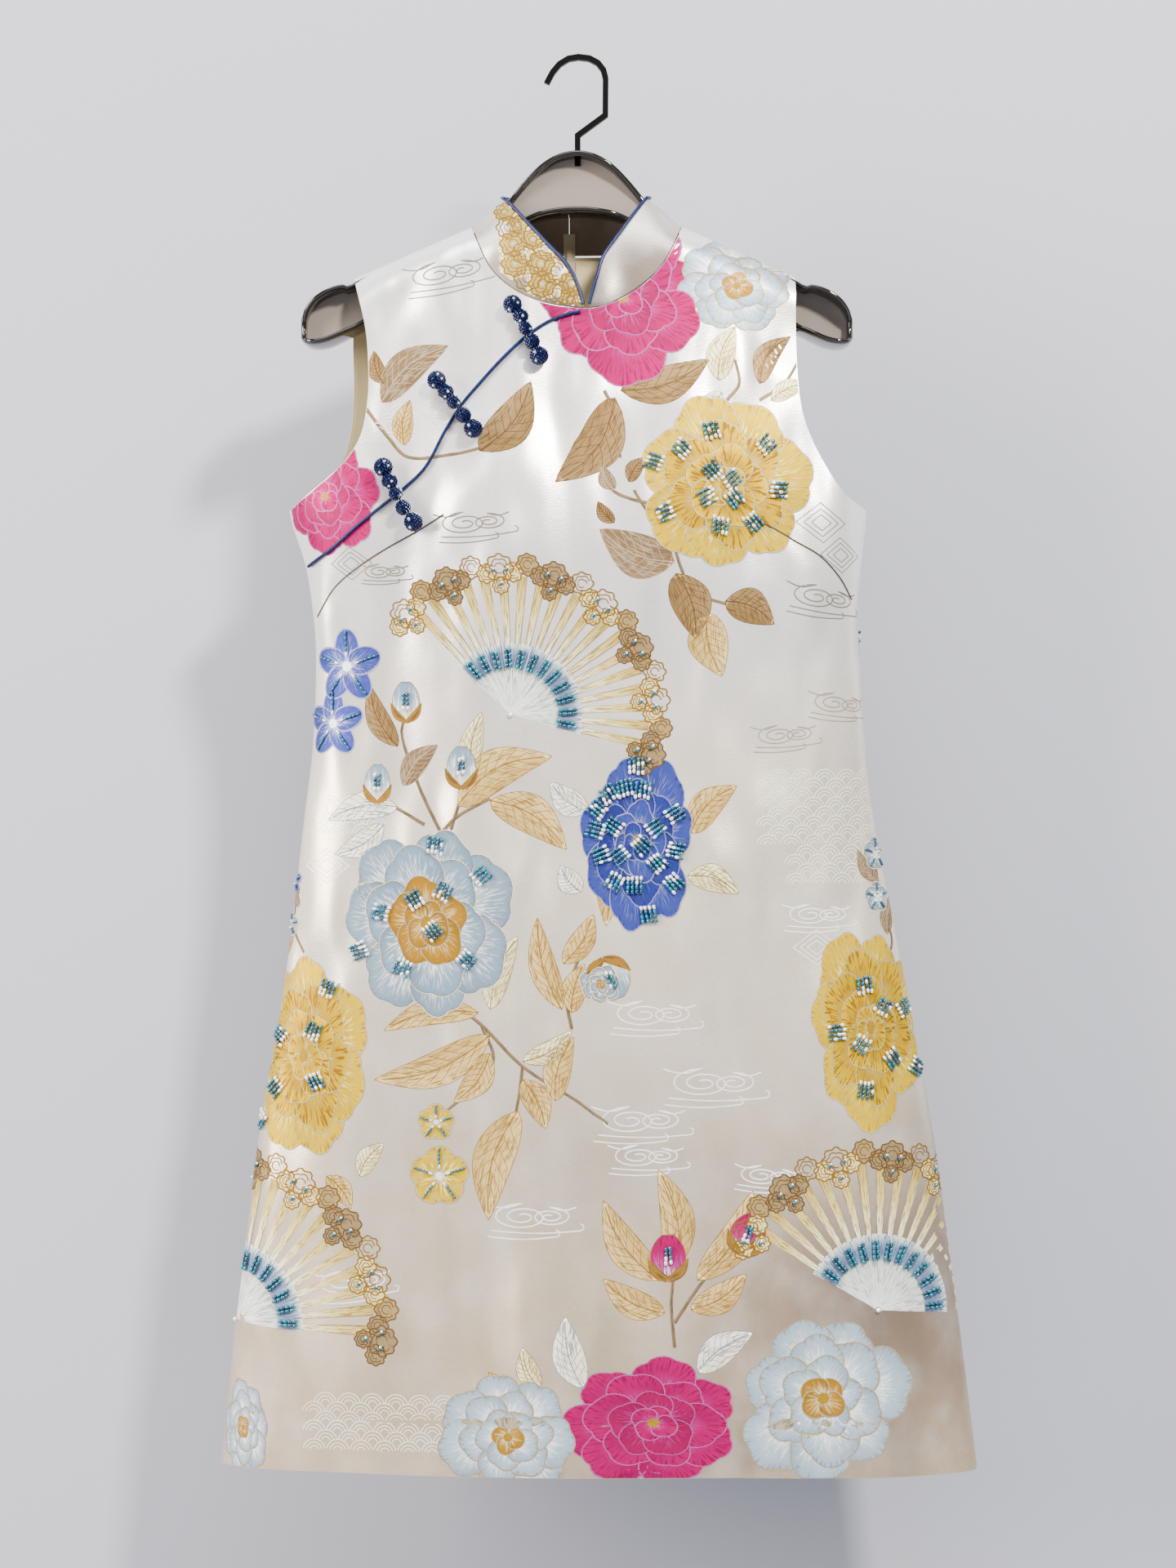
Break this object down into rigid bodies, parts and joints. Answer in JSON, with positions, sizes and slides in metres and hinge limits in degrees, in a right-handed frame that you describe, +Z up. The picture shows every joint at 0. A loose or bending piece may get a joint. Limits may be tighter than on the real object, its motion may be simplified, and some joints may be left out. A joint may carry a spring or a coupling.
{
  "type": "mini dress on a hanger",
  "caption": "Sleeveless A-line brocade mini dress with a stand collar, slanted piped opening and back zip, hanging flat on a contoured hanger with a bar hook.",
  "frame": {"origin": "inner top of the hanger hook's crook, where a rail or peg carries it", "axes": "+Z up along the hanging line, front of the dress faces -Y, +X to the viewer's right"},
  "size_m": [0.5754, 0.1029, 1.0767],
  "materials": {
    "brocade": "satin",
    "lining": "satin",
    "navy_satin": "satin",
    "navy_bead": "gloss",
    "smoked_plastic": "gloss",
    "black_metal": "satin",
    "zip_tape": "matte",
    "zip_metal": "satin"
  },
  "bodies": {
    "dress": {"front_panel": "brocade", "front_yoke": "brocade", "back_left": "brocade", "back_right": "brocade", "collar_left": "brocade", "collar_right": "brocade", "facing_left": "lining", "facing_right": "lining", "piping_collar_left": "navy_satin", "piping_collar_right": "navy_satin", "piping_opening": "navy_satin", "button_upper": "navy_bead", "button_middle": "navy_bead", "button_lower": "navy_bead", "zip_tape": "zip_tape", "zip_coil": "zip_tape", "zip_slider": "zip_metal", "hanger_body": "smoked_plastic", "hanger_hook": "black_metal"},
    "pull_tab": {"zip_pull": "zip_metal"}
  },
  "joints": [
    {"name": "pull_tab_swing", "type": "hinge", "parent": "dress", "child": "pull_tab", "pos_m": [-0.006, 0.03387, -0.131], "axis": [1, 0, 0], "range_deg": [0, 150]}
  ]
}
